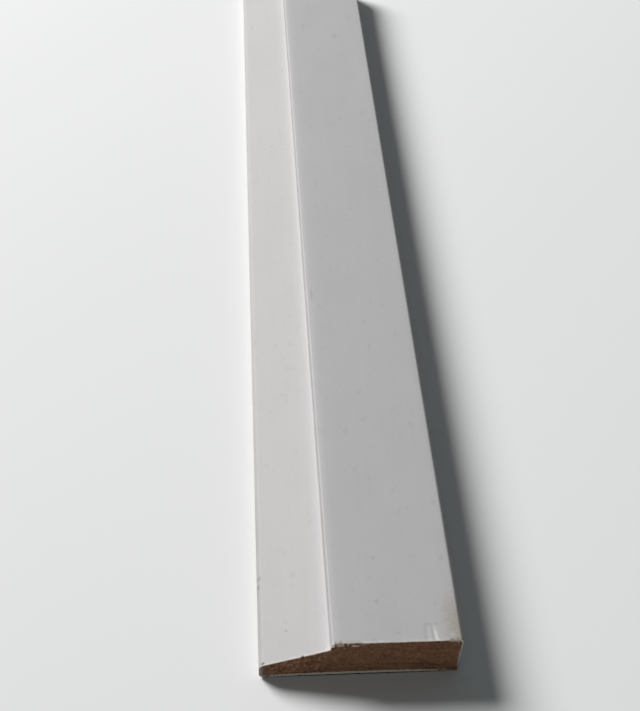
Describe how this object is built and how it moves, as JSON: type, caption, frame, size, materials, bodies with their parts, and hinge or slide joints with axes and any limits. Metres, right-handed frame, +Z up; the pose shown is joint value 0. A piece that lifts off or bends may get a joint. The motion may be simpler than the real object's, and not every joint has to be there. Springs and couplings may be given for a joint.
{
  "type": "door stop moulding",
  "caption": "Length of primed door stop moulding: flat back, thin rounded nose, bevelled face rising to a small step, flat show face and a thick square edge that a door closes against.",
  "frame": {"origin": "on the surface that the moulding lies on, under the middle of its length and width", "axes": "+Y along the length, away from the chipped sawn end, +X across towards the thick square edge, +Z up out of the flat back"},
  "size_m": [0.035, 0.25, 0.0095],
  "materials": {
    "primed_fibreboard": "pale grey-white factory primer with a low sheen on the faces, over brown fibreboard that is bare on the two sawn ends"
  },
  "bodies": {
    "root": {"door_stop_moulding": "primed_fibreboard"}
  },
  "joints": []
}
